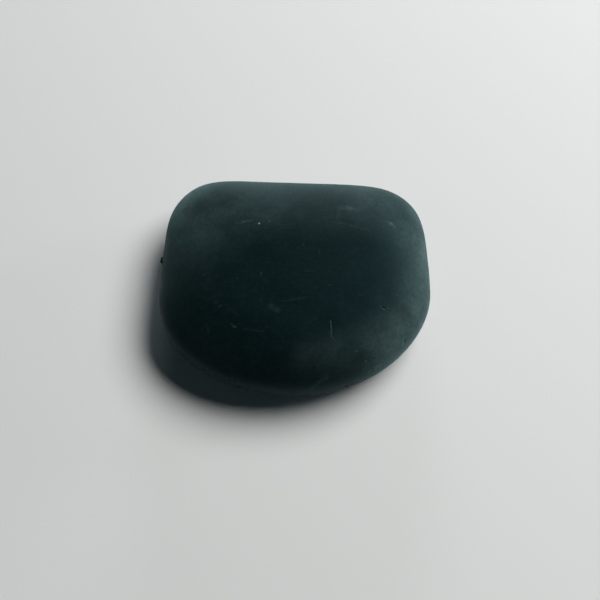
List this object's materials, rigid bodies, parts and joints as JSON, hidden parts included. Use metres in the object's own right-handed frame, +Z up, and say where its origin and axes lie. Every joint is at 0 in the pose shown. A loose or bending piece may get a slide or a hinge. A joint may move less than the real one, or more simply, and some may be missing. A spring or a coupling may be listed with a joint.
{
  "type": "basalt massage stone",
  "caption": "Flat rounded basalt pebble, straight along one long side and half-round on the other, warmed and held in the hand for hot-stone massage.",
  "frame": {"origin": "on the resting face, below the middle of the stone's bounding box", "axes": "+X along the stone's length, to its right; +Y to the straight long side; +Z up"},
  "size_m": [0.08, 0.0694, 0.021],
  "materials": {
    "basalt": "tumbled matte, near-black with a slight green-blue cast and a faint oily bloom"
  },
  "bodies": {
    "root": {"massage_stone": "basalt"}
  },
  "joints": []
}
